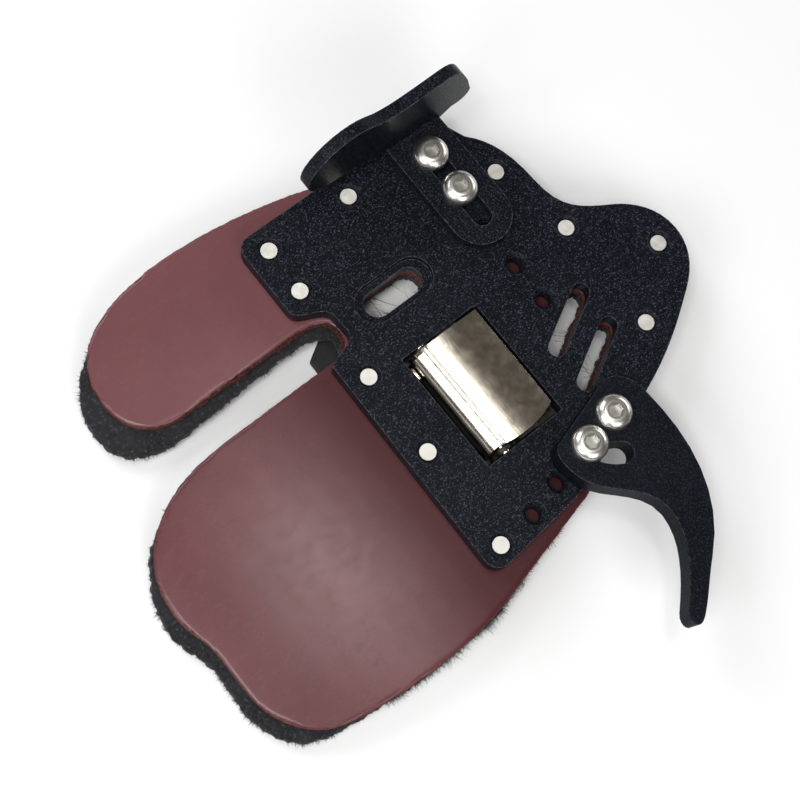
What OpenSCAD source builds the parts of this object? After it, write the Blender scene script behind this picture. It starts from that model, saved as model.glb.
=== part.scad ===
// Archery finger tab: a metal palm plate over two layers of leather, with an anchor shelf,
// a little-finger hook and a cam buckle that holds the finger strap.
// X runs across the fingers, Y towards the wrist, Z up. The part lies on Z = 0.

/* [Plate] */
// Thickness of the palm plate
plate_t = 3; // [2.5:0.1:3.5]
// Radius of the plate's front corners
corner_r = 2.6; // [1.5:0.1:3]
// Depth of the notch over the string gap
notch_depth = 5.6; // [4.5:0.1:6]

/* [Leather] */
// Thickness of the string-side face leather
face_t = 2; // [1.6:0.1:2.2]
// Thickness of the backing suede
suede_t = 1.8; // [1.5:0.1:2]
// How far the longest flap tip hangs below the flat leather
droop = 2.2; // [0.5:0.1:2.2]
// Length of the flap over which that droop builds up
droop_len = 42; // [40:1:50]

/* [Screws] */
// Diameter of the shelf and hook screws
screw_d = 3; // [2.8:0.1:3]
// Head diameter of the shelf and hook screws
head_d = 5.7; // [5.2:0.1:5.7]
// Head height of the shelf and hook screws
head_h = 1.65; // [1.4:0.05:1.7]
// Width across the flats of their hexagon socket
socket_af = 2; // [1.5:0.1:2.5]
// Tapping diameter of an open threaded hole
tap_d = 2.5; // [2.4:0.05:2.6]
// Shank diameter of the leather screws
leather_screw_d = 2.6; // [2.4:0.1:2.8]
// Head diameter of the leather screws
leather_head_d = 5; // [4.5:0.1:5.2]
// Head height of the leather screws
leather_head_h = 2.2; // [2:0.1:2.2]

/* [Anchor shelf] */
// Thickness of the shelf's arm and of its upright
shelf_t = 2; // [1.6:0.1:2.2]
// Width of the arm
arm_w = 10.4; // [9:0.1:10.6]
// Distance from the plate's edge to the arm's round end
arm_len = 23.8; // [23:0.1:24.5]
// How far the shelf slides outwards
shelf_travel = 5.5; // [3:0.5:5.5]

/* [Hook] */
// Thickness of the little-finger hook
hook_t = 4.5; // [3.5:0.1:5]
// Angle that the hook's curved slot runs round its pivot, in degrees
slot_sweep = 50; // [30:5:50]

/* [Buckle] */
// Diameter of the buckle's hinge pin
pin_d = 1.5; // [1.2:0.1:1.6]
// Radius of the cam that grips the strap
cam_r = 2.8; // [2.6:0.05:2.8]
// Thickness of the lever's sheet
lever_t = 1; // [0.8:0.1:1]
// Thickness of the buckle frame's sheet
frame_t = 0.8; // [0.6:0.1:0.8]
// Width of the strap
strap_w = 16; // [12:1:16]
// Thickness of the strap
strap_t = 1; // [0.8:0.1:1]

/* [Hidden] */
$fn = 48;
through = 20;                       // longer than any cut is deep
slide_gap = 0.05;                   // clearance between faces that slide or turn
tap_gap = 0.02;                     // clearance of a screw in its own thread
chamfer = 0.6;                      // countersink on every plate hole

suede_z = leather_head_h;           // underside of the suede
face_z = suede_z + suede_t;
plate_z = face_z + face_t;
top_z = plate_z + plate_t;          // the plate's upper face
arm_top = top_z + slide_gap + shelf_t;
hook_top = top_z + slide_gap + hook_t;

// Holes, measured from the plate's front left corner
row_y = 33.4;
row_x0 = 6.5;
row_pitch = 7.15;
row_count = 5;
hook_hole0 = [55.6, 28.2];
hook_step = [1.4, -6];
leather_holes = [
    [3.6, 4], [11.5, 3.8], [28.4, 3.7], [42.8, 3.5], [60.3, 3.2],
    [3.8, 19.4], [14.3, 41], [28.2, 44], [39, 54.4], [47.7, 44]
];
origin = leather_holes[2];          // this screw's head is the frame's origin

// Openings in the plate
window_lo = [29.4, 9.3];
window_hi = [50.2, 24];
spacer_slot = [20, 15.4];
spacer_w = 4.4;
spacer_len = 10.6;
recess_w = 6.4;
recess_len = 13.8;
recess_depth = 1.2;
vent_slots = [[[37.7, 38.7], [42.4, 29.8]], [[44.5, 38.7], [49.2, 29.8]]];
vent_w = 2.9;

// Buckle
pin_pos = [12.9, top_z - 0.5];      // Y and Z of the hinge pin
floor_z = pin_pos[1] - cam_r - slide_gap - strap_t - slide_gap - frame_t;
strap_z = floor_z + frame_t + slide_gap;
lid_r = 26;                         // radius of the lid's arch
lid_mid = 16.7;                     // Y of the arch's highest line
lid_start = 13.3;                   // Y where the arch meets the roll round the pin
lid_top = top_z + 2.55;
lid_x = [30.2, 49.7];
lid_back = 22.8;
cheek_gap = 0.3;                    // between the cam's ends and the frame's cheeks
frame_gap = 0.3;                    // between the frame's cheeks and the window
strap_x = (window_lo[0] + window_hi[0] - strap_w) / 2;

// Points of a cubic curve, without its last point
function curve(a, b, c, d, n = 8) = [
    for (i = [0 : n - 1])
        let (t = i / n, s = 1 - t)
        a * s * s * s + b * 3 * s * s * t + c * 3 * s * t * t + d * t * t * t
];

function row_hole(i) = [row_x0 + i * row_pitch, row_y];
function hook_hole(i) = hook_hole0 + hook_step * i;

// How far the flaps hang at a distance y behind the plate's front edge
function sag(y) = y < 0 ? -droop * pow(y / droop_len, 2) : 0;

module in_frame() translate([-origin[0], -origin[1], 0]) children();

// Points on part of a circle, from angle a0 to a1 in degrees
function arc(c, r, a0, a1, n = 10) = [
    for (i = [0 : n])
        let (a = a0 + (a1 - a0) * i / n)
        [c[0] + r * cos(a), c[1] + r * sin(a)]
];

module slot_2d(a, b, w) {
    along = atan2(b[1] - a[1], b[0] - a[0]);
    polygon(concat(
        arc(b, w / 2, along - 90, along + 90),
        arc(a, w / 2, along + 90, along + 270)
    ));
}

module upright_slot_2d(c, w, length) {
    half = [0, (length - w) / 2];
    slot_2d(c - half, c + half, w);
}

module plate_2d() {
    r = corner_r;
    k = r * 0.45;
    polygon(concat(
        curve([0, r], [0, k], [k, 0.3], [r, 0.3]),
        curve([13.2, 0.3], [15.6, 0.3], [15.2, notch_depth], [18.2, notch_depth]),
        curve([21, notch_depth], [23.6, notch_depth], [22.4, 0], [24.8, 0]),
        curve([63.4 - r, -0.3], [63.4 - k, -0.3], [63.4, k], [63.2, r]),
        [[61.9, 17]],
        curve([56, 36.5], [53.4, 44], [50.5, 48.2], [47.5, 52.8]),
        curve([47.5, 52.8], [45, 56.6], [42, 58.3], [38.6, 58.3]),
        curve([38.6, 58.3], [34.5, 58.3], [31.5, 55.6], [29.8, 52.8]),
        curve([29.8, 52.8], [27, 48], [25.5, 45.2], [19, 45]),
        curve([19, 45], [12, 44.8], [8.6, 43], [5.6, 39.4]),
        curve([r, 38.9], [k, 38.9], [0, 38.9 - k], [0, 38.9 - r])
    ));
}

// The leather under the plate stays just inside the plate's edge
module under_plate_2d() {
    inset = 0.97;
    centre = [30, 24];
    translate(centre * (1 - inset)) scale([inset, inset]) plate_2d();
}

module face_2d() {
    under_plate_2d();
    polygon(concat(
        curve([1, 24], [-2.5, 15], [-5.6, 3], [-5.7, -9]),
        curve([-5.7, -9], [-5.8, -20], [-3, -29.7], [7, -29.7]),
        curve([7, -29.7], [12.6, -29.7], [16, -26.5], [16, -20]),
        curve([16.1, 0], [16.3, 3.4], [17.3, 5.2], [19.4, 5.2]),
        curve([19.4, 5.2], [21.6, 5.2], [22.9, 4], [22.9, 1]),
        curve([22.8, -20], [22.8, -32], [29, -40.2], [38.4, -40.2]),
        curve([38.4, -40.2], [43, -40.2], [43.5, -38.7], [48, -38.7]),
        curve([48, -38.7], [53, -38.7], [56, -39.2], [60, -37.3]),
        curve([60, -37.3], [65.4, -34.6], [66.6, -31], [67.5, -24]),
        curve([67.5, -24], [69.2, -12], [68.2, -5], [66.9, 1.6]),
        [[62.6, 20], [50, 30], [5, 30]]
    ));
}

module suede_2d() {
    under_plate_2d();
    polygon(concat(
        curve([1, 24], [-2, 15], [-5.1, 3], [-5.2, -9]),
        curve([-5.2, -9], [-5.2, -24], [1, -33.4], [10, -33.4]),
        curve([10, -33.4], [16.2, -33.4], [18, -29], [18.1, -21]),
        curve([17.2, -4], [17.2, 2.2], [18.2, 4.2], [20.2, 4.3]),
        curve([20.2, 4.3], [22, 4.3], [23, 3.4], [23.1, 1]),
        curve([23.1, -20], [23.1, -33], [30, -42.2], [40.5, -42.2]),
        curve([40.5, -42.2], [44, -42.2], [45, -40.4], [48.5, -40.3]),
        curve([48.5, -40.3], [54, -40.5], [57, -41.4], [62, -38.8]),
        curve([62, -38.8], [66, -36.5], [66.7, -32], [67.3, -26]),
        curve([67.3, -26], [68.7, -14], [68.5, -6], [67.2, 1.2]),
        [[63.8, 14], [61.8, 20], [50, 30], [5, 30]]
    ));
}

module hook_2d() {
    polygon(concat(
        curve([54, 19], [54.3, 17.2], [55.8, 17], [58, 17.2]),
        curve([58, 17.2], [64.5, 17.8], [66, 25.4], [72, 25.4]),
        curve([72, 25.4], [76.6, 25.2], [80.5, 22], [84.6, 17.6]),
        curve([84.6, 17.6], [86, 16.2], [88.2, 17], [86.8, 19]),
        curve([86.8, 19], [85, 21.5], [83.4, 22.8], [81, 25.8]),
        curve([81, 25.8], [75, 33.4], [66, 35.4], [56, 34.5]),
        curve([56, 34.5], [53, 34.2], [50.3, 32.6], [50.9, 29.5])
    ));
}

// The shelf's upright, drawn with Y across and Z up from the plate's upper face
module upright_2d() {
    polygon(concat(
        [[28.4, 0], [38.8, 0]],
        curve([41.4, 1.8], [43.6, 1.2], [45.5, 2.4], [44.6, 5]),
        curve([43.3, 8.6], [41.6, 12.4], [40.9, 14.4], [38.2, 14.5]),
        curve([38.2, 14.5], [32, 14.2], [27, 13.6], [23.6, 16]),
        curve([23.6, 16], [19.6, 18.4], [14.6, 16.6], [12.6, 12.6]),
        curve([12.6, 12.6], [11, 8.6], [13, 5.4], [16.6, 5]),
        curve([16.6, 5], [21, 4.6], [25, 3.4], [28.4, 2])
    ));
}

// A sheet of leather lying flat under the plate and hanging slightly at the flaps
module sheet(z, t) {
    reach = 60;
    ys = [for (y = [-48 : 4 : 0]) y];
    profile = concat(
        [for (y = ys) [y, z + sag(y)]],
        [[reach, z], [reach, z + t]],
        [for (i = [len(ys) - 1 : -1 : 0]) [ys[i], z + t + sag(ys[i])]]
    );
    intersection() {
        translate([0, 0, -through]) linear_extrude(2 * through) children();
        translate([-reach, 0, 0]) rotate([90, 0, 90]) linear_extrude(3 * reach) polygon(profile);
    }
}

// Cuts that go through both layers of leather
module leather_cuts() {
    margin = 0.4;
    slot_loss = 0.3;
    translate([0, 0, -through]) linear_extrude(2 * through) {
        for (p = leather_holes) translate(p) circle(d = leather_screw_d + 0.1);
        for (i = [0, 1]) translate(row_hole(i)) circle(d = screw_d + 0.1);
        for (i = [0, 1]) translate(hook_hole(i)) circle(d = screw_d + 0.1);
        translate(window_lo - [margin, margin])
            square(window_hi - window_lo + 2 * [margin, margin]);
        upright_slot_2d(spacer_slot, spacer_w, spacer_len);
        for (s = vent_slots) slot_2d(s[0], s[1], vent_w - slot_loss);
    }
}

module plate_hole(p, d) {
    translate([p[0], p[1], plate_z - 1]) cylinder(d = d, h = plate_t + 2);
    translate([p[0], p[1], top_z - chamfer])
        cylinder(d1 = d, d2 = d + 2 * chamfer, h = chamfer + 0.001);
}

module palm_plate() {
    color("#16181f") in_frame() difference() {
        translate([0, 0, plate_z]) linear_extrude(plate_t) plate_2d();
        for (p = leather_holes) plate_hole(p, leather_screw_d + 2 * tap_gap);
        for (i = [0, 1]) plate_hole(row_hole(i), screw_d + 2 * tap_gap);
        for (i = [2 : row_count - 1]) plate_hole(row_hole(i), tap_d);
        for (i = [0, 1]) plate_hole(hook_hole(i), screw_d + 2 * tap_gap);
        for (i = [2, 3]) plate_hole(hook_hole(i), tap_d);
        translate([0, 0, plate_z - 1]) linear_extrude(plate_t + 2) {
            translate(window_lo) square(window_hi - window_lo);
            upright_slot_2d(spacer_slot, spacer_w, spacer_len);
            for (s = vent_slots) slot_2d(s[0], s[1], vent_w);
        }
        translate([0, 0, top_z - recess_depth]) linear_extrude(plate_t)
            upright_slot_2d(spacer_slot, recess_w, recess_len);
    }
}

module face_leather() {
    color("#6d3e45") in_frame() difference() {
        sheet(face_z, face_t) face_2d();
        leather_cuts();
        // pocket for the buckle frame's flange
        flange_block(0.1);
    }
}

module backing_suede() {
    color("#1d1c1e") in_frame() difference() {
        sheet(suede_z, suede_t) suede_2d();
        leather_cuts();
    }
}

module arm_cut_2d() {
    clear = 0.3;
    left = row_x0;
    right = row_x0 + row_pitch + shelf_travel;
    slot_2d([left, row_y], [right, row_y], screw_d + clear);
}

module anchor_shelf() {
    z0 = top_z + slide_gap;
    end_r = arm_w / 2;
    fillet = 0.6;
    color("#15171d") in_frame() {
        translate([0, 0, z0]) linear_extrude(shelf_t) difference() {
            union() {
                translate([0, row_y - end_r]) square([arm_len - end_r, arm_w]);
                translate([arm_len - end_r, row_y]) circle(r = end_r);
            }
            arm_cut_2d();
        }
        translate([0, 0, z0]) rotate([90, 0, 90]) linear_extrude(shelf_t) upright_2d();
        // round inner bend between arm and upright
        translate([shelf_t, row_y + end_r, z0 + shelf_t]) rotate([90, 0, 0])
            linear_extrude(arm_w) difference() {
                square(fillet);
                translate([fillet, fillet]) circle(r = fillet);
            }
    }
}

// Slot of width w that follows a circle of radius r round the origin
module bent_slot_2d(r, a0, a1, w) {
    polygon(concat(
        arc([0, 0], r + w / 2, a0, a1),
        arc(r * [cos(a1), sin(a1)], w / 2, a1 + 18, a1 + 162, 8),
        arc([0, 0], r - w / 2, a1, a0),
        arc(r * [cos(a0), sin(a0)], w / 2, a0 + 198, a0 + 342, 8)
    ));
}

module palm_hook() {
    z0 = top_z + slide_gap;
    pivot = hook_hole(0);
    arm = norm(hook_step);
    start = atan2(hook_step[1], hook_step[0]);
    slot_w = screw_d + 0.3;
    color("#14161c") in_frame() difference() {
        translate([0, 0, z0]) linear_extrude(hook_t) difference() {
            hook_2d();
            translate(pivot) circle(d = screw_d + 2 * slide_gap);
            translate(pivot) bent_slot_2d(arm, start, start + slot_sweep, slot_w);
        }
    }
}

// Sheet ring under the plate that traps the buckle, grown by g on every side
module flange_block(g) {
    lap = 1.8;
    translate([window_lo[0] - lap - g, window_lo[1] - lap - g, plate_z - frame_t - g])
        cube([window_hi[0] - window_lo[0] + 2 * (lap + g),
              window_hi[1] - window_lo[1] + 2 * (lap + g), frame_t + g]);
}

module cheek_2d() {
    // side cheek with Y across and Z up: a low wall, the pin's ear and a stop tab
    ear_r = 1.45;
    tab_y = [15.6, 19.4];
    tab_rise = 0.7;
    wall_top = plate_z + 0.8;
    y0 = window_lo[1] + frame_gap;
    y1 = window_hi[1] - frame_gap;
    overlap = 0.1;
    difference() {
        union() {
            translate([y0, floor_z]) square([y1 - y0, wall_top - floor_z]);
            translate(pin_pos) circle(r = ear_r);
            translate([pin_pos[0] - ear_r, wall_top - overlap])
                square([2 * ear_r, pin_pos[1] - wall_top + overlap]);
            translate([tab_y[0], wall_top - overlap])
                square([tab_y[1] - tab_y[0], top_z + tab_rise - wall_top + overlap]);
        }
        translate(pin_pos) circle(d = pin_d + 2 * tap_gap);
        // room for the lever's roll when the lid stands open
        polygon(concat(round_pin(cam_r + 0.15, 130, 250), round_pin(ear_r + 0.1, 250, 130)));
    }
}

module buckle_frame() {
    inner = frame_t + frame_gap;
    rim = 0.4;
    floor_y = [11.7, 21.9];
    lug_d = 0.5;
    lug_l = 2;
    lug_x = 31.4;
    color("#b9b4a6") in_frame() {
        difference() {
            flange_block(0);
            translate([window_lo[0] + inner, window_lo[1] + rim, 0])
                cube([window_hi[0] - window_lo[0] - 2 * inner,
                      window_hi[1] - window_lo[1] - 2 * rim, through]);
        }
        for (x = [window_lo[0] + frame_gap, window_hi[0] - frame_gap - frame_t])
            translate([x, 0, 0]) rotate([90, 0, 90]) linear_extrude(frame_t) cheek_2d();
        translate([window_lo[0] + frame_gap, floor_y[0], floor_z])
            cube([window_hi[0] - window_lo[0] - 2 * frame_gap, floor_y[1] - floor_y[0], frame_t]);
        // small stop lug in front of the cam, on a post that rises from the flange
        translate([lug_x, window_lo[1] + 0.08, plate_z - 0.1])
            cube([lug_l, 0.4, plate_t - 0.1]);
        translate([lug_x, window_lo[1] + 0.3, top_z - 0.2]) rotate([0, 90, 0])
            cylinder(d = lug_d, h = lug_l);
    }
}

module buckle_pin() {
    color("#d8d5cc") in_frame()
        translate([window_lo[0] + 0.1, pin_pos[0], pin_pos[1]]) rotate([0, 90, 0])
            cylinder(d = pin_d, h = window_hi[0] - window_lo[0] - 0.2);
}

// Points on the lid's arch with Y across and Z up, for a radius r between two Y values
function arch(r, y0, y1, n = 8) = [
    for (i = [0 : n])
        let (y = y0 + (y1 - y0) * i / n)
        [y, lid_top - lid_r + sqrt(r * r - pow(y - lid_mid, 2))]
];

// Points on a circle of radius r round the pin, between two angles
function round_pin(r, a0, a1, n = 6) = [
    for (i = [0 : n])
        let (a = a0 + (a1 - a0) * i / n)
        [pin_pos[0] + r * cos(a), pin_pos[1] + r * sin(a)]
];

// Side view of the lever's full-width sheet: the arched lid and the start of the roll
module lid_side_2d() {
    roll_r = cam_r - 0.05;
    roll_start = 96;                // degrees round the pin, from the wrist side
    roll_end = 140;
    polygon(concat(
        arch(lid_r, lid_back, lid_start),
        round_pin(roll_r, roll_start, roll_end),
        round_pin(roll_r - lever_t, roll_end, roll_start),
        arch(lid_r - lever_t, lid_start, lid_back)
    ));
}

// The lid seen from above: straight at the index side, bowed at the ring side
module lever_plan() {
    y0 = pin_pos[0] - 4;
    bow = 1.8;
    translate([0, 0, plate_z]) linear_extrude(through) polygon(concat(
        [[lid_x[0], y0]],
        curve([lid_x[1] - bow - 0.6, y0], [lid_x[1] + 0.5, y0 + 4],
              [lid_x[1] + 0.5, y0 + 10.5], [lid_x[1] - bow, lid_back + 1]),
        [[lid_x[1] - bow, lid_back + 1], [lid_x[0], lid_back + 1]]
    ));
}

module buckle_lever() {
    side = frame_gap + frame_t + cheek_gap;
    inside = window_lo[0] + side;
    width = window_hi[0] - window_lo[0] - 2 * side;
    color("#c9c3b4") in_frame() difference() {
        union() {
            intersection() {
                translate([lid_x[0] - 1, 0, 0]) rotate([90, 0, 90])
                    linear_extrude(lid_x[1] - lid_x[0] + 2) lid_side_2d();
                lever_plan();
            }
            translate([inside, pin_pos[0], pin_pos[1]]) rotate([0, 90, 0])
                cylinder(r = cam_r, h = width);
        }
        translate([0, pin_pos[0], pin_pos[1]]) rotate([0, 90, 0])
            cylinder(d = pin_d + 2 * slide_gap, h = 80);
    }
}

module finger_strap() {
    clear = 0.6;
    front = [window_lo[1] + clear, window_lo[1] + clear + strap_t];
    back = [window_hi[1] - clear - strap_t, window_hi[1] - clear];
    flat_t = 1.2;
    right = strap_x + strap_w;
    color("#202024") in_frame() {
        translate([strap_x, front[0], strap_z])
            cube([strap_w, back[1] - front[0], strap_t]);
        for (y = [front[0], back[0]])
            translate([strap_x, y, flat_t / 2]) cube([strap_w, strap_t, strap_z - flat_t / 2 + strap_t]);
        linear_extrude(flat_t) polygon([
            [19.8, -0.2], [25.2, -0.2], [25.6, 7], [right, 7], [right, back[1]],
            [strap_x, back[1]], [strap_x, 14], [23.4, 9], [17.2, 4.2]
        ]);
    }
}

module socket_screw(p, head_z, tip_z) {
    dome = 0.75;
    socket_depth = 1.1;
    color("#c9c9c4") in_frame() translate([p[0], p[1], 0]) difference() {
        union() {
            translate([0, 0, tip_z]) cylinder(d = screw_d, h = head_z - tip_z + 0.1);
            // button head: low rim, domed top cut flat
            translate([0, 0, head_z]) rotate_extrude() polygon(concat(
                [[0, 0], [head_d / 2, 0]],
                curve([head_d / 2, 0.3], [head_d / 2, head_h * dome], [1.9, head_h], [1.5, head_h]),
                [[0, head_h]]
            ));
        }
        translate([0, 0, head_z + head_h - socket_depth])
            cylinder(d = socket_af / cos(30), h = 2, $fn = 6);
    }
}

// Pan head under the suede, cross recess in its face, tip just below the plate's upper face
module leather_screw(i) {
    p = leather_holes[i - 1];
    cross_w = 0.6;
    cross_l = 2.6;
    tip_z = top_z - 0.35;
    color("#cfcfcb") in_frame() translate([p[0], p[1], 0]) difference() {
        union() {
            cylinder(d = leather_screw_d, h = tip_z);
            rotate_extrude() polygon(concat(
                [[0, 0], [leather_head_d / 2 - 0.6, 0]],
                curve([leather_head_d / 2 - 0.6, 0], [leather_head_d / 2, 0],
                      [leather_head_d / 2, 0.4], [leather_head_d / 2, 1]),
                [[leather_head_d / 2, leather_head_h], [0, leather_head_h]]
            ));
        }
        for (a = [0, 90]) rotate(a) translate([-cross_l / 2, -cross_w / 2, -1])
            cube([cross_l, cross_w, 1.9]);
    }
}

module shelf_screw_1() socket_screw(row_hole(0), arm_top + slide_gap, suede_z);
module shelf_screw_2() socket_screw(row_hole(1), arm_top + slide_gap, suede_z);
module hook_screw_1() socket_screw(hook_hole(0), hook_top + slide_gap, suede_z);
module hook_screw_2() socket_screw(hook_hole(1), hook_top + slide_gap, suede_z);
module leather_screw_1() leather_screw(1);
module leather_screw_2() leather_screw(2);
module leather_screw_3() leather_screw(3);
module leather_screw_4() leather_screw(4);
module leather_screw_5() leather_screw(5);
module leather_screw_6() leather_screw(6);
module leather_screw_7() leather_screw(7);
module leather_screw_8() leather_screw(8);
module leather_screw_9() leather_screw(9);
module leather_screw_10() leather_screw(10);

palm_plate();
face_leather();
backing_suede();
anchor_shelf();
palm_hook();
buckle_frame();
buckle_pin();
buckle_lever();
finger_strap();
shelf_screw_1();
shelf_screw_2();
hook_screw_1();
hook_screw_2();
leather_screw_1();
leather_screw_2();
leather_screw_3();
leather_screw_4();
leather_screw_5();
leather_screw_6();
leather_screw_7();
leather_screw_8();
leather_screw_9();
leather_screw_10();
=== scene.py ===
import math
import random
import bpy
import bmesh
from mathutils import Matrix, Vector, noise


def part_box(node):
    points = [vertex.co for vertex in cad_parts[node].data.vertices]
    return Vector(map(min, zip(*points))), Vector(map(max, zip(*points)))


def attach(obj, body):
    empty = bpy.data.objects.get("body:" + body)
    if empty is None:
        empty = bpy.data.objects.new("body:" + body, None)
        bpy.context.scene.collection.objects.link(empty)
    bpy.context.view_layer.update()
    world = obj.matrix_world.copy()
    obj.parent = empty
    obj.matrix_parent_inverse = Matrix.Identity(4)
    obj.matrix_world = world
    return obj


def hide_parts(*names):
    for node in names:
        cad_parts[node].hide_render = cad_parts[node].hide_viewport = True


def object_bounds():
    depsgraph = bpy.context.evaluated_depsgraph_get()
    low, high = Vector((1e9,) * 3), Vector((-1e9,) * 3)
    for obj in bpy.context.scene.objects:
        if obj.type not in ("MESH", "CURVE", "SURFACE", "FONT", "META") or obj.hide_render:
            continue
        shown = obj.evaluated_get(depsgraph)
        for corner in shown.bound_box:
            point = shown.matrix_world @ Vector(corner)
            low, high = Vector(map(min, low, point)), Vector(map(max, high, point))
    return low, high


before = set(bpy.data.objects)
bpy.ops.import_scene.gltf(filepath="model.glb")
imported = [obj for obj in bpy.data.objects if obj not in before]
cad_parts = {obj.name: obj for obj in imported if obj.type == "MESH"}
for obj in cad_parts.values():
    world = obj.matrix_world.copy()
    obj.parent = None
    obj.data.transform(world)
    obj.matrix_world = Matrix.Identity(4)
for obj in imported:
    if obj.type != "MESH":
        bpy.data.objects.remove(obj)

mm = 0.001
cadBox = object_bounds()
scene = bpy.context.scene
plateDepth = 58.3 * mm  # from the palm plate's front edge to its wrist end
plateLow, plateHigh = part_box("palm_plate")
plateLeft, plateFront, plateTop = plateLow[0], plateHigh[1] - plateDepth, plateHigh[2]


def fromPlate(x, y, z=0.0):
    # millimetres from the plate's front left corner and its upper face, to metres in the frame
    return Vector((plateLeft + x * mm, plateFront + y * mm, plateTop + z * mm))


# helpers that build materials from nodes
def addNode(material, kind, **settings):
    node = material.node_tree.nodes.new(kind)
    for key, value in settings.items():
        setattr(node, key, value)
    return node


def feed(material, node, values):
    # each value is a number, a colour or vector, or another node's output
    for key, value in values.items():
        socket = node.inputs[key]
        if isinstance(value, (int, float)):
            socket.default_value = value
        elif isinstance(value, tuple):
            socket.default_value = (*value, 1)[:len(socket.default_value)]
        else:
            material.node_tree.links.new(value, socket)


def newMaterial(name):
    material = bpy.data.materials.new(name)
    material.use_nodes = True
    addNode(material, "ShaderNodeTexCoord", name="place")
    return material


def placeOf(material, kind="Object"):
    return material.node_tree.nodes["place"].outputs[kind]


def paint(material, values):
    feed(material, material.node_tree.nodes["Principled BSDF"], values)


def noiseNode(material, scale, detail, rough, stretch=None):
    place = placeOf(material)
    if stretch:
        mapping = addNode(material, "ShaderNodeMapping")
        feed(material, mapping, {"Scale": stretch, "Vector": place})
        place = mapping.outputs["Vector"]
    texture = addNode(material, "ShaderNodeTexNoise")
    feed(material, texture, {"Scale": scale, "Detail": detail, "Roughness": rough, "Vector": place})
    return texture.outputs["Fac"]


def rampNode(material, value, stops):
    # stops is a list of (position, colour) from low to high
    ramp = addNode(material, "ShaderNodeValToRGB")
    elements = ramp.color_ramp.elements
    for element, (position, colour) in ((elements[0], stops[0]), (elements[1], stops[-1])):
        element.position = position
        element.color = (*colour, 1)
    for position, colour in stops[1:-1]:
        elements.new(position).color = (*colour, 1)
    feed(material, ramp, {"Fac": value})
    return ramp.outputs["Color"]


def mixColour(material, factor, first, second):
    mix = addNode(material, "ShaderNodeMix", data_type="RGBA")
    feed(material, mix, {"Factor": factor, 6: first, 7: second})
    return mix.outputs[2]


def rangeNode(material, value, start, end):
    # value running over start, a (low, high) pair, becomes a value running over end
    node = addNode(material, "ShaderNodeMapRange")
    feed(material, node, {"Value": value, "From Min": start[0], "From Max": start[1]})
    feed(material, node, {"To Min": end[0], "To Max": end[1]})
    return node.outputs["Result"]


def multiplyNode(material, first, second):
    node = addNode(material, "ShaderNodeMath", operation="MULTIPLY")
    feed(material, node, {0: first, 1: second})
    return node.outputs[0]


def addBumps(material, layers):
    # layers holds (height, strength, distance in millimetres), coarsest first
    normal = None
    for height, strength, distance in layers:
        bump = addNode(material, "ShaderNodeBump")
        feed(material, bump, {"Strength": strength, "Distance": distance * mm, "Height": height})
        if normal:
            feed(material, bump, {"Normal": normal})
        normal = bump.outputs["Normal"]
    paint(material, {"Normal": normal})


anodisedLook = {
    "pit": (0.0018, 0.0024, 0.004), "body": (0.0032, 0.0044, 0.0078), "grain": (0.016, 0.019, 0.028),
    "patch": (0.008, 0.01, 0.015), "speckle": (0.062, 0.07, 0.092), "rubbed": (0.15, 0.155, 0.17),
    "roughness": (0.42, 0.3), "faceGloss": 0.1, "rubbedWidth": 0.22,
}


def blackAnodised(name, wallGloss, speckled):
    # faceGloss is for the level faces and wallGloss for the upright ones
    look = anodisedLook
    material = newMaterial(name)
    grain = noiseNode(material, 2600, 2, 0.6)
    patch = noiseNode(material, 90, 3, 0.6)
    sparkle = noiseNode(material, 5200, 1, 0.5)
    speckle = noiseNode(material, 6500, 1, 0.4, (1, 0.55, 1))
    base = rampNode(material, grain, [(0.36, look["pit"]), (0.56, look["body"]), (0.72, look["grain"])])
    base = mixColour(material, rangeNode(material, patch, (0.35, 0.75), (0.0, 0.45)), base, look["patch"])
    shown = rangeNode(material, speckle, (0.6, 0.7), (0.0, speckled))
    base = mixColour(material, shown, base, look["speckle"])
    # rubbed edges: where a slightly rounded normal leaves the true one
    rounded = addNode(material, "ShaderNodeBevel", samples=4)
    feed(material, rounded, {"Radius": look["rubbedWidth"] * mm})
    trueNormal = addNode(material, "ShaderNodeNewGeometry").outputs["Normal"]
    turn = addNode(material, "ShaderNodeVectorMath", operation="DOT_PRODUCT")
    feed(material, turn, {0: rounded.outputs["Normal"], 1: trueNormal})
    edge = rangeNode(material, turn.outputs["Value"], (0.99, 0.85), (0.0, 1.0))
    broken = rangeNode(material, grain, (0.4, 0.6), (0.15, 0.9))
    base = mixColour(material, multiplyNode(material, edge, broken), base, look["rubbed"])
    facing = addNode(material, "ShaderNodeSeparateXYZ")
    feed(material, facing, {0: placeOf(material, "Normal")})
    paint(material, {
        "Base Color": base,
        "Roughness": rangeNode(material, sparkle, (0.35, 0.7), look["roughness"]),
        "Specular IOR Level": rangeNode(
            material, facing.outputs["Z"], (0.3, 0.8), (wallGloss, look["faceGloss"])),
    })
    addBumps(material, [(grain, 0.3, 0.04), (sparkle, 0.5, 0.03)])
    return material


# one colour here and its reach are painted shade on the ring flap beside the plate
leatherFinish = {
    "dark": (0.1, 0.031, 0.036), "body": (0.122, 0.04, 0.046), "light": (0.142, 0.05, 0.057),
    "pore": (0.07, 0.018, 0.022), "paintedShade": (0.05, 0.014, 0.016), "indexFlapLighter": (0.21, 0.085, 0.095),
    "scratch": (0.045, 0.012, 0.014), "roughness": (0.24, 0.29), "gloss": (0.32, 0.14),
    "paintedShadeReach": 18, "flapSplit": (20, 24),
}


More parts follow.
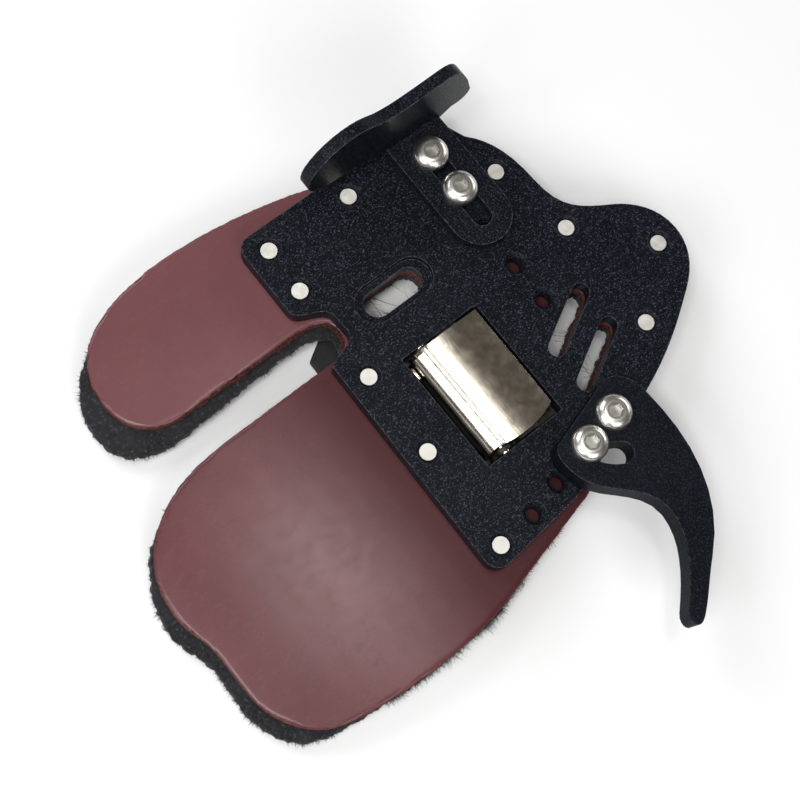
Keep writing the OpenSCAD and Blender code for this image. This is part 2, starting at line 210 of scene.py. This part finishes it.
def scratchMask(material):
    # the bent edges of large cells, kept to a few patches
    jitter = addNode(material, "ShaderNodeTexNoise")
    feed(material, jitter, {"Scale": 120, "Vector": placeOf(material)})
    shrink = addNode(material, "ShaderNodeVectorMath", operation="SCALE")
    feed(material, shrink, {0: jitter.outputs["Color"], "Scale": 0.02})
    bent = addNode(material, "ShaderNodeVectorMath", operation="ADD")
    feed(material, bent, {0: placeOf(material), 1: shrink.outputs[0]})
    cells = addNode(material, "ShaderNodeTexVoronoi", feature="DISTANCE_TO_EDGE")
    feed(material, cells, {"Scale": 75, "Vector": bent.outputs[0]})
    line = rangeNode(material, cells.outputs["Distance"], (0.0, 0.012), (1.0, 0.0))
    patches = rangeNode(material, noiseNode(material, 48, 3, 0.6), (0.52, 0.66), (0.0, 0.55))
    return multiplyNode(material, line, patches)


def burgundyLeather():
    look = leatherFinish
    material = newMaterial("burgundyLeather")
    cloudy = noiseNode(material, 55, 4, 0.55)
    pores = noiseNode(material, 3200, 3, 0.6)
    crease = noiseNode(material, 650, 5, 0.65, (1, 0.6, 1))
    base = rampNode(material, cloudy, [(0.3, look["dark"]), (0.52, look["body"]), (0.75, look["light"])])
    base = mixColour(material, rangeNode(material, pores, (0.3, 0.5), (0.35, 0.0)), base, look["pore"])
    # painted shade: the ring flap is darker and less glossy beside the plate, and the index flap is lighter a
    # little
    split = addNode(material, "ShaderNodeSeparateXYZ")
    feed(material, split, {0: placeOf(material)})
    between = tuple(fromPlate(x, 0).x for x in look["flapSplit"])
    nearPlate = (plateFront - look["paintedShadeReach"] * mm, plateFront - 2 * mm)
    beside = rangeNode(material, split.outputs["Y"], nearPlate, (0.0, 0.75))
    ringSide = rangeNode(material, split.outputs["X"], between, (0.0, 1.0))
    paintedShade = multiplyNode(material, beside, ringSide)
    # painted shade on the ring flap beside the plate
    base = mixColour(material, paintedShade, base, look["paintedShade"])
    # the index flap is lighter a little
    indexFlapLighter = rangeNode(material, split.outputs["X"], between, (0.35, 0.0))
    base = mixColour(material, indexFlapLighter, base, look["indexFlapLighter"])
    base = mixColour(material, scratchMask(material), base, look["scratch"])
    paint(material, {
        "Base Color": base,
        "Roughness": rangeNode(material, crease, (0.3, 0.7), look["roughness"]),
        "Specular IOR Level": rangeNode(material, paintedShade, (0.0, 0.75), look["gloss"]),
    })
    addBumps(material, [(crease, 0.05, 0.08), (pores, 0.14, 0.03)])
    return material


edgeFinish = {"dark": (0.045, 0.014, 0.013), "body": (0.13, 0.045, 0.038), "light": (0.26, 0.12, 0.09)}


def rawLeatherEdge():
    look = edgeFinish
    material = newMaterial("rawLeatherEdge")
    fibre = noiseNode(material, 2400, 4, 0.7, (1, 1, 0.35))
    base = rampNode(material, fibre, [(0.3, look["dark"]), (0.55, look["body"]), (0.75, look["light"])])
    paint(material, {"Base Color": base, "Roughness": 0.92, "Specular IOR Level": 0.2})
    addBumps(material, [(fibre, 0.8, 0.15)])
    return material


suedeFinish = {
    "dark": (0.004, 0.0042, 0.005), "body": (0.019, 0.0195, 0.023), "fleck": (0.12, 0.12, 0.125),
    "brushed": (0.034, 0.035, 0.042),
}


def blackSuede():
    look = suedeFinish
    material = newMaterial("blackSuede")
    nap = noiseNode(material, 1900, 4, 0.7)
    brushed = noiseNode(material, 160, 4, 0.6)
    base = rampNode(material, nap, [(0.3, look["dark"]), (0.58, look["body"]), (0.76, look["fleck"])])
    base = mixColour(material, rangeNode(material, brushed, (0.35, 0.7), (0.0, 0.5)), base, look["brushed"])
    paint(material, {
        "Base Color": base, "Roughness": 0.95, "Sheen Weight": 0.12, "Specular IOR Level": 0.25,
    })
    addBumps(material, [(brushed, 0.5, 0.3), (nap, 1.0, 0.2)])
    return material


nickelFinish = {"dull": (0.62, 0.575, 0.49), "bright": (0.72, 0.67, 0.585), "roughness": (0.17, 0.25)}


def nickelPlate():
    look = nickelFinish
    material = newMaterial("nickelPlate")
    brush = noiseNode(material, 3200, 3, 0.65, (0.22, 1, 1))
    smear = noiseNode(material, 700, 4, 0.6)
    paint(material, {
        "Base Color": rampNode(material, smear, [(0.3, look["dull"]), (0.7, look["bright"])]),
        "Metallic": 1,
        "Roughness": rangeNode(material, smear, (0.3, 0.7), look["roughness"]),
    })
    addBumps(material, [(brush, 0.22, 0.03)])
    return material


steelFinish = {"dull": (0.78, 0.77, 0.72), "bright": (0.86, 0.85, 0.81)}


def stainless(name, roughness, shade=1.0):
    # shade below 1 darkens the steel as painted shade, as in a socket
    material = newMaterial(name)
    turned = noiseNode(material, 900, 2, 0.5)
    dull, bright = (tuple(part * shade for part in steelFinish[key]) for key in ("dull", "bright"))
    paint(material, {
        "Base Color": rampNode(material, turned, [(0.3, dull), (0.7, bright)]),
        "Metallic": 1,
        "Roughness": rangeNode(material, turned, (0.3, 0.7), roughness),
    })
    addBumps(material, [(turned, 0.01, 0.02)])
    return material


# painted shade: the buckle frame is near-black steel, standing for the shade round the lid
paintedShadeSteelFinish = {"dark": (0.012, 0.012, 0.013), "light": (0.05, 0.047, 0.042)}


def paintedShadeSteel():
    look = paintedShadeSteelFinish
    material = newMaterial("paintedShadeSteel")
    mottle = noiseNode(material, 1400, 4, 0.65)
    paint(material, {
        "Base Color": rampNode(material, mottle, [(0.3, look["dark"]), (0.7, look["light"])]),
        "Metallic": 0.8,
        "Roughness": rangeNode(material, mottle, (0.3, 0.7), (0.35, 0.55)),
    })
    addBumps(material, [(mottle, 0.2, 0.04)])
    return material


webbingFinish = {"dark": (0.003, 0.003, 0.0035), "light": (0.009, 0.009, 0.01), "dust": (0.03, 0.03, 0.03)}


def blackWebbing():
    look = webbingFinish
    material = newMaterial("blackWebbing")
    waves = []
    for direction in ("X", "Y"):
        wave = addNode(material, "ShaderNodeTexWave", bands_direction=direction)
        feed(material, wave, {"Scale": 900, "Distortion": 0.8, "Detail": 1, "Vector": placeOf(material)})
        waves.append(wave.outputs["Fac"])
    weave = multiplyNode(material, *waves)
    dust = rangeNode(material, noiseNode(material, 1200, 3, 0.6), (0.5, 0.8), (0.0, 0.4))
    base = rampNode(material, weave, [(0.1, look["dark"]), (0.8, look["light"])])
    paint(material, {"Base Color": mixColour(material, dust, base, look["dust"]), "Roughness": 0.62})
    addBumps(material, [(weave, 0.3, 0.06)])
    return material


finishes = {
    "plate": blackAnodised("blackAnodised", 0.1, 0.8),
    "hook": blackAnodised("hookAnodised", 0.012, 0.35),
    "leather": burgundyLeather(),
    "rawEdge": rawLeatherEdge(),
    "suede": blackSuede(),
    "nickel": nickelPlate(),
    "steel": stainless("stainless", (0.28, 0.33)),
    "tip": stainless("stainlessTip", (0.5, 0.6)),
    # painted shade for the walls and rims of the hexagon sockets
    "socket": stainless("socketShadeSteel", (0.45, 0.55), 0.32),
    "webbing": blackWebbing(),
    "paintedShadeSteel": paintedShadeSteel(),
}
print("materials ready")

# each metal piece's finish and the width of its softened edges in millimetres, 0 for crisp ones
metalPieces = {
    "palm_plate": ("plate", 0.18), "anchor_shelf": ("plate", 0.3), "palm_hook": ("hook", 0.5),
    # the buckle frame's near-black steel is painted shade
    "buckle_frame": ("paintedShadeSteel", 0.08), "buckle_lever": ("nickel", 0.15), "buckle_pin": ("nickel", 0.15),
}
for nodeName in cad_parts:
    if "_screw_" in nodeName:
        metalPieces[nodeName] = ("tip" if nodeName.startswith("leather") else "steel", 0)
weldReach = 0.002 * mm


def dress(nodeName, finish, edgeWidth):
    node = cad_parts[nodeName]
    node.data.materials.clear()
    node.data.materials.append(finishes[finish])
    for polygon in node.data.polygons:
        polygon.material_index = 0
        polygon.use_smooth = True
    imported = node.data.attributes.get("custom_normal")
    if imported:
        node.data.attributes.remove(imported)
    weld = node.modifiers.new("weld", "WELD")
    weld.merge_threshold = weldReach
    if edgeWidth:
        bevel = node.modifiers.new("softEdge", "BEVEL")
        bevel.width = edgeWidth * mm
        bevel.segments = 2
        bevel.limit_method = "ANGLE"
        bevel.angle_limit = math.radians(38)
        bevel.use_clamp_overlap = True
        bevel.face_strength_mode = "FSTR_ALL"
        weighted = node.modifiers.new("evenNormals", "WEIGHTED_NORMAL")
        weighted.use_face_influence = True
    else:
        split = node.modifiers.new("crispEdge", "EDGE_SPLIT")
        split.split_angle = math.radians(32)


for nodeName, (finish, edgeWidth) in metalPieces.items():
    dress(nodeName, finish, edgeWidth)


def patchFinish(nodeName, finish, chosen):
    # gives a second finish to the faces whose middles are chosen
    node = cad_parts[nodeName]
    node.data.materials.append(finishes[finish])
    for polygon in node.data.polygons:
        if chosen(node.matrix_world @ polygon.center):
            polygon.material_index = 1


# painted shade: the hexagon sockets are darker round their walls and rims; millimetres from the screw's axis
# and top
socketLook = {"inner": 0.93, "outer": 1.3, "depth": 1.3}


def inSocket(nodeName):
    low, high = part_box(nodeName)
    axis = Vector(((low[0] + high[0]) / 2, (low[1] + high[1]) / 2))
    floorLevel = high[2] - socketLook["depth"] * mm

    def chosen(middle):
        away = (middle.xy - axis).length / mm
        return socketLook["inner"] < away < socketLook["outer"] and middle.z > floorLevel

    return chosen


for nodeName in ("shelf_screw_1", "shelf_screw_2", "hook_screw_1", "hook_screw_2"):
    patchFinish(nodeName, "socket", inSocket(nodeName))

# the stop lug in front of the lid is bright
lugEnd = fromPlate(0, 10.2, -0.8)
patchFinish("buckle_frame", "nickel", lambda middle: middle.y < lugEnd.y and middle.z > lugEnd.z)
print("metal pieces dressed:", len(metalPieces))

# voxel, edgeRough and wave are in millimetres; faces that look up more than grainAbove show the grain
leatherLook = {"voxel": 0.34, "smooth": 2, "edgeRough": 0.07, "wave": 0.25, "grainAbove": 0.86}
suedeLook = {"voxel": 0.36, "smooth": 2, "edgeRough": 0.42, "wave": 0.25, "grainAbove": 0.6}


def evaluatedCopy(name, source, modifiers):
    # a new object with the source's mesh after the given modifiers
    helper = bpy.data.objects.new(name + "Helper", source.data.copy())
    scene.collection.objects.link(helper)
    for kind, settings in modifiers:
        modifier = helper.modifiers.new(kind, kind)
        for key, value in settings.items():
            setattr(modifier, key, value)
    graph = bpy.context.evaluated_depsgraph_get()
    mesh = bpy.data.meshes.new_from_object(helper.evaluated_get(graph))
    bpy.data.objects.remove(helper)
    piece = bpy.data.objects.new(name, mesh)
    scene.collection.objects.link(piece)
    return piece


def flapWave(x, y):
    # gentle rise and fall of the free flaps, the same for both layers, nothing under the plate
    free = max(0.0, plateFront - y) / (30 * mm)
    return min(1.0, free) * noise.noise(Vector((x * 38, y * 38, 3.1)))


def roughenEdge(mesh, look):
    # ragged cut edges and a gentle wave, kept above the floor
    lowest = cadBox[0][2] + 0.02 * mm
    for vertex, normal in zip(mesh.vertices, [n.vector.copy() for n in mesh.vertex_normals]):
        flat = Vector((normal.x, normal.y, 0))
        sideways = min(1.0, flat.length * 1.3)
        if sideways > 0.35:
            rough = noise.noise(vertex.co * 900) + 0.6 * noise.noise(vertex.co * 2300)
            vertex.co += flat.normalized() * rough * look["edgeRough"] * sideways * mm
        vertex.co.z += flapWave(vertex.co.x, vertex.co.y) * look["wave"] * mm
        vertex.co.z = max(vertex.co.z, lowest)


def makeSkin(name, nodeName, look, topFinish, edgeFinish):
    piece = evaluatedCopy(name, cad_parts[nodeName], [
        ("WELD", {"merge_threshold": weldReach}),
        ("REMESH", {"mode": "VOXEL", "voxel_size": look["voxel"] * mm, "adaptivity": 0.0}),
        ("SMOOTH", {"factor": 0.5, "iterations": look["smooth"]}),
    ])
    mesh = piece.data
    mesh.materials.clear()
    mesh.materials.append(finishes[topFinish])
    mesh.materials.append(finishes[edgeFinish])
    roughenEdge(mesh, look)
    for polygon in mesh.polygons:
        polygon.use_smooth = True
        polygon.material_index = 0 if polygon.normal.z > look["grainAbove"] else 1
    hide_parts(nodeName)
    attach(piece, "tab")
    return piece


faceSkin = makeSkin("faceLeather", "face_leather", leatherLook, "leather", "rawEdge")
suedeSkin = makeSkin("backingSuede", "backing_suede", suedeLook, "suede", "suede")
print("leather", len(faceSkin.data.polygons), "suede", len(suedeSkin.data.polygons))


def addStrand(builder, start, direction, length, width, rng):
    # one tapering curved fibre as a strip of three quads
    side = direction.cross(Vector((rng.uniform(-1, 1), rng.uniform(-1, 1), rng.uniform(-1, 1))))
    side = side.normalized() * width / 2
    bend = Vector((rng.uniform(-1, 1), rng.uniform(-1, 1), rng.uniform(-0.8, 0.8))) * length * 0.45
    steps = 4
    rings = []
    for step in range(steps):
        t = step / (steps - 1)
        point = start + direction * length * t + bend * t * t
        point.z = max(point.z, cadBox[0][2] + 0.05 * mm)
        thin = side * (1 - 0.75 * t)
        rings.append((builder.verts.new(point - thin), builder.verts.new(point + thin)))
    for (a, b), (c, d) in zip(rings, rings[1:]):
        builder.faces.new((a, b, d, c))


def objectFrom(builder, name, finish):
    made = bpy.data.objects.new(name, bpy.data.meshes.new(name))
    builder.to_mesh(made.data)
    builder.free()
    scene.collection.objects.link(made)
    made.data.materials.append(finishes[finish])
    return made


# ends are millimetres from the plate's corner; level is below its upper face
threadLook = {
    "slotThreads1": {"ends": ((17.9, 12.2), (22.1, 13.6)), "count": 7, "spread": 0.9, "seed": 21},
    "slotThreads2": {"ends": ((17.9, 17.2), (22.2, 18.8)), "count": 4, "spread": 0.7, "seed": 22},
    "slotThreads3": {"ends": ((39.4, 32.4), (42.6, 33.6)), "count": 9, "spread": 0.7, "seed": 23},
    "slotThreads4": {"ends": ((46.2, 33.6), (49.2, 33.4)), "count": 11, "spread": 1.0, "seed": 24},
}
suedeThread = {"level": -5.6, "finish": "suede", "slotName": "suede_black"}
leatherThread = {"level": -3.6, "finish": "rawEdge", "slotName": "face_leather"}
threadKinds = (suedeThread, suedeThread, leatherThread, leatherThread)


def makeThreads(name, ends, count, spread, seed, level, finish, slotName):
    # loose curved threads from the cut layers, lying across a slot
    rng = random.Random(seed)
    builder = bmesh.new()
    for _ in range(count):
        one, two = [fromPlate(x + rng.gauss(0, spread), y + rng.gauss(0, spread), level) for x, y in ends]
        if rng.random() < 0.5:
            one, two = two, one
        reach = (two - one) * rng.uniform(0.35, 1.0)
        addStrand(builder, one, reach.normalized(), reach.length, rng.uniform(0.06, 0.13) * mm, rng)
    threads = objectFrom(builder, name, finish)
    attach(threads, "tab")


for (name, look), kind in zip(threadLook.items(), threadKinds):
    makeThreads(name, **look, **kind)


def outsidePlate(point):
    return point.y < plateFront + 20 * mm


def besideGap(point):
    # the index flap's edge along the string gap, which is cut roughly
    low, high = fromPlate(12.5, -22), fromPlate(22.5, 6)
    return low.x < point.x < high.x and low.y < point.y < high.y


def besideHook(point):
    # the ring flap's outer edge, where the suede's nap has worked out past the leather
    low, high = fromPlate(48, -24), fromPlate(0, 14)
    return point.x > low.x and low.y < point.y < high.y


# length and width are in millimetres; fibres grow only where the surface looks up more than upward
fuzzWidth = 0.09
fuzzLook = {
    "suedeFuzz": {"count": 9000, "length": 0.62, "seed": 11, "keep": outsidePlate, "upward": -1},
    "leatherFuzz": {"count": 2500, "length": 0.26, "seed": 12, "keep": outsidePlate, "upward": -1},
    "gapFuzz": {"count": 4200, "length": 0.62, "seed": 13, "keep": besideGap, "upward": 0.12},
    "rimFuzz": {"count": 2600, "length": 1.25, "seed": 14, "keep": besideHook, "upward": -1},
}


def makeFuzz(name, skin, finish):
    look = fuzzLook[name]
    rng = random.Random(look["seed"])
    mesh = skin.data
    edges = [
        i for i, n in enumerate(mesh.vertex_normals)
        if math.hypot(n.vector.x, n.vector.y) > 0.55
        and n.vector.z > look["upward"] and look["keep"](mesh.vertices[i].co)
    ]
    builder = bmesh.new()
    for _ in range(look["count"]):
        index = rng.choice(edges)
        normal = mesh.vertex_normals[index].vector.copy()
        clump = 0.5 + 0.9 * max(0.0, noise.noise(mesh.vertices[index].co * 260) + 0.3)
        stray = Vector((rng.gauss(0, 0.5), rng.gauss(0, 0.5), rng.gauss(-0.05, 0.45)))
        size = look["length"] * mm * clump * rng.uniform(0.4, 1.15)
        root = mesh.vertices[index].co - normal * 0.08 * mm
        addStrand(builder, root, (normal + stray).normalized(), size, fuzzWidth * mm, rng)
    fuzz = objectFrom(builder, name, finish)
    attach(fuzz, "tab")
    return fuzz


suedeFuzz = makeFuzz("suedeFuzz", suedeSkin, "suede")
leatherFuzz = makeFuzz("leatherFuzz", faceSkin, "rawEdge")
gapFuzz = makeFuzz("gapFuzz", faceSkin, "rawEdge")
rimFuzz = makeFuzz("rimFuzz", suedeSkin, "suede")


print("fibres added")

# millimetres; allowance is the strap's thickness with its slack, and web the webbing's own
strapLook = {"allowance": 0.95, "web": 0.5, "width": 16, "bendRadius": 0.9, "tail": 1.1, "tailEdge": 0.35}


def ribbon(name, path, width, thickness, centreX):
    # a flat band of given width along X that follows path, a list of (y, z)
    half = width / 2
    inset = half - thickness * 0.45
    corners = [(-half, -0.35), (-inset, -1), (inset, -1), (half, -0.35)]
    corners += [(x, -s) for x, s in reversed(corners)]
    builder = bmesh.new()
    rings = []
    for i, (y, z) in enumerate(path):
        before, after = path[max(i - 1, 0)], path[min(i + 1, len(path) - 1)]
        along = Vector((0, after[0] - before[0], after[1] - before[1])).normalized()
        outward = Vector((0, -along.z, along.y)) * thickness / 2
        middle = Vector((centreX, y, z))
        rings.append([builder.verts.new(middle + Vector((x, 0, 0)) + outward * s) for x, s in corners])
    count = len(corners)
    for one, two in zip(rings, rings[1:]):
        for k in range(count):
            builder.faces.new((one[k], one[(k + 1) % count], two[(k + 1) % count], two[k]))
    builder.faces.new(list(reversed(rings[0])))
    builder.faces.new(rings[-1])
    bmesh.ops.recalc_face_normals(builder, faces=builder.faces)
    band = objectFrom(builder, name, "webbing")
    for polygon in band.data.polygons:
        polygon.use_smooth = True
    return band


def roundedPath(points, radius, steps=6):
    # the corners of a path replaced by short curves
    out = [Vector(points[0])]
    for before, corner, after in zip(points, points[1:], points[2:]):
        corner = Vector(corner)
        start = corner + (Vector(before) - corner).normalized() * radius
        end = corner + (Vector(after) - corner).normalized() * radius
        for k in range(steps + 1):
            t = k / steps
            out.append(start * (1 - t) ** 2 + corner * 2 * t * (1 - t) + end * t * t)
    out.append(Vector(points[-1]))
    return [(p.x, p.y) for p in out]


def strapLoop():
    # from the pad under the suede, back below the buckle, up, forward over the pin and down again
    backY = strapHigh[1] - strapLook["allowance"] * mm / 2
    frontY = plateFront + 10.4 * mm
    upperZ = strapHigh[2] - strapLook["allowance"] * mm / 2
    floorZ = strapLow[2] + 0.32 * mm
    padFront = plateFront + 7.5 * mm
    return roundedPath([
        (padFront + 2 * mm, floorZ + 0.62 * mm),
        (padFront, floorZ + 0.3 * mm),
        (padFront + 2 * mm, floorZ),
        (backY, floorZ),
        (backY, upperZ),
        (frontY, upperZ),
        (frontY, floorZ + 0.75 * mm),
        (backY - 3 * mm, floorZ + 0.75 * mm),
    ], strapLook["bendRadius"] * mm)


def foldedTail(name, outline, thickness):
    # the end of the squashed loop: two layers of strap with a rounded fold, lying flat
    builder = bmesh.new()
    corners = [builder.verts.new(Vector((p.x, p.y, strapLow[2] + 0.03 * mm))) for p in outline]
    grown = bmesh.ops.extrude_face_region(builder, geom=[builder.faces.new(corners)])
    top = [v for v in grown["geom"] if isinstance(v, bmesh.types.BMVert)]
    bmesh.ops.translate(builder, vec=(0, 0, thickness), verts=top)
    bmesh.ops.recalc_face_normals(builder, faces=builder.faces)
    bmesh.ops.bevel(builder, geom=list(builder.edges), offset=strapLook["tailEdge"] * mm,
                    segments=3, profile=0.5, affect="EDGES")
    return objectFrom(builder, name, "webbing")


strapLow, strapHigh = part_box("finger_strap")
frameLow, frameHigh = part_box("buckle_frame")
bandWidth = strapLook["width"] * mm
loop = strapLoop()
strapBand = ribbon("fingerStrap", loop, bandWidth, strapLook["web"] * mm, (frameLow[0] + frameHigh[0]) / 2)
tailCorners = ((19.8, -0.2), (25.1, -0.2), (25.5, 7.2), (33, 8), (32.2, 13.6), (23.4, 9), (17.2, 4.2))
strapTail = foldedTail("strapTail", [fromPlate(*p) for p in tailCorners], strapLook["tail"] * mm)
for band in (strapBand, strapTail):
    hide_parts("finger_strap")
    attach(band, "tab")
print("strap made")

floorLook = {"halfWidth": 3, "colour": (0.86, 0.865, 0.88), "roughness": 0.7}
half = floorLook["halfWidth"]
floorMesh = bpy.data.meshes.new("floor")
floorCorners = [(-half, -half, 0), (half, -half, 0), (half, half, 0), (-half, half, 0)]
floorMesh.from_pydata(floorCorners, [], [(0, 1, 2, 3)])
floor = bpy.data.objects.new("floor", floorMesh)
scene.collection.objects.link(floor)
floorMaterial = newMaterial("paperFloor")
paint(floorMaterial, {"Base Color": floorLook["colour"], "Roughness": floorLook["roughness"]})
floorMesh.materials.append(floorMaterial)

lookAt = fromPlate(34.1, 5.1)

# tilt is from straight up, towards +X and +Y, in degrees; radiance is what a mirror would show of the
# lamp; distance and size are in metres
lights = {
    "ceilingPanel": {
        "tilt": (0, 4.5), "distance": 0.8, "size": (0.4, 0.24), "radiance": 1.0, "colour": (1, 0.99, 0.95)},
    "smallKey": {
        "tilt": (-2.5, 3.2), "distance": 0.8, "size": (0.11, 0.1), "radiance": 18, "colour": (1, 0.98, 0.95)},
    "frontPanel": {
        "tilt": (3, -25), "distance": 0.8, "size": (0.3, 0.17), "radiance": 16, "colour": (1, 1, 0.98)},
    "leftFill": {
        "tilt": (-52, -10), "distance": 0.7, "size": (0.35, 0.35), "radiance": 4.4, "colour": (0.96, 0.98, 1)},
    "rightFill": {
        "tilt": (50, -20), "distance": 0.7, "size": (0.35, 0.35), "radiance": 4.2, "colour": (1, 1, 1)},
    "frontFill": {
        "tilt": (0, -52), "distance": 0.7, "size": (0.4, 0.3), "radiance": 4.5, "colour": (1, 1, 1)},
    "backFill": {
        "tilt": (5, 66), "distance": 0.8, "size": (0.5, 0.12), "radiance": 7.0, "colour": (0.95, 0.97, 1)},
}


def addLight(name, tilt, distance, size, radiance, colour):
    lamp = bpy.data.lights.new(name, "AREA")
    lamp.shape = "RECTANGLE"
    lamp.size, lamp.size_y = size
    lamp.energy = radiance * math.pi * size[0] * size[1]
    lamp.color = colour
    body = bpy.data.objects.new(name, lamp)
    scene.collection.objects.link(body)
    slopes = [math.tan(math.radians(angle)) for angle in tilt]
    offset = Vector((*slopes, 1)).normalized() * distance
    body.location = lookAt + offset
    body.rotation_euler = offset.to_track_quat("Z", "Y").to_euler()


for name, look in lights.items():
    addLight(name, **look)

worldLook = {"colour": (1, 0.86, 0.72), "strength": 0.09}
world = bpy.data.worlds.new("dimRoom")
world.use_nodes = True
background = world.node_tree.nodes["Background"]
background.inputs["Color"].default_value = (*worldLook["colour"], 1)
background.inputs["Strength"].default_value = worldLook["strength"]
scene.world = world

# angles in degrees, distance, lens and sensor in millimetres
view = {"azimuth": 115.15, "elevation": 73.25, "roll": -26.7, "distance": 217.2, "lens": 65.25, "sensor": 36}
azimuth, elevation, roll = (math.radians(view[key]) for key in ("azimuth", "elevation", "roll"))
across = math.cos(elevation)
forward = Vector((math.cos(azimuth) * across, math.sin(azimuth) * across, -math.sin(elevation)))
level = forward.cross(Vector((0, 0, 1))).normalized()
upright = level.cross(forward)
up = upright * math.cos(roll) + level * math.sin(roll)
right = forward.cross(up)
camera = bpy.data.objects.new("camera", bpy.data.cameras.new("camera"))
scene.collection.objects.link(camera)
turned = Matrix((right, up, -forward)).transposed().to_4x4()
camera.matrix_world = Matrix.Translation(lookAt - forward * view["distance"] * mm) @ turned
camera.data.lens = view["lens"]
camera.data.sensor_width = view["sensor"]
camera.data.clip_start = 0.01
scene.camera = camera
scene.view_settings.view_transform = "Standard"

print("scene ready")
